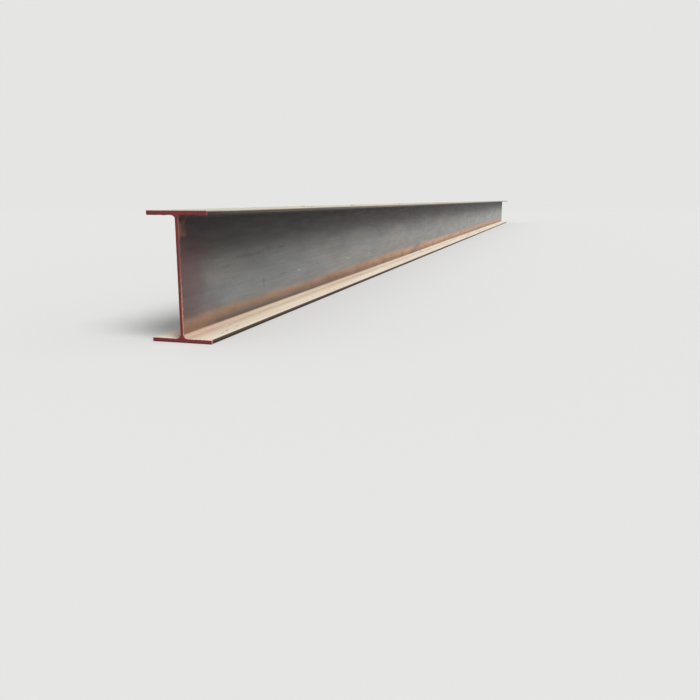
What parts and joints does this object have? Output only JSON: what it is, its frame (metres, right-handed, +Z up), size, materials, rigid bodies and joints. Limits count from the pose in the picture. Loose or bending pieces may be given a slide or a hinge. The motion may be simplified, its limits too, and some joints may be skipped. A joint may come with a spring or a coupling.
{
  "type": "steel h-beam",
  "caption": "Hot-rolled steel H section in a mill length, with parallel flanges, an upright web, root fillets and square sawn ends.",
  "frame": {"origin": "underside of the lower flange, at the middle of its width and of the bar's length", "axes": "+X along the bar, from the painted end towards the other; +Y across the flanges; +Z up along the web"},
  "size_m": [12, 0.2, 0.4],
  "materials": {
    "mill_scale_steel": "hot-rolled mill scale, dull grey, with a rust band along the web's foot and pale dust on the flanges",
    "end_paint": "dull crimson marking paint brushed over one sawn end, rubbed pale pink along its edges"
  },
  "bodies": {
    "root": {"h_beam": "mill_scale_steel"}
  },
  "joints": []
}
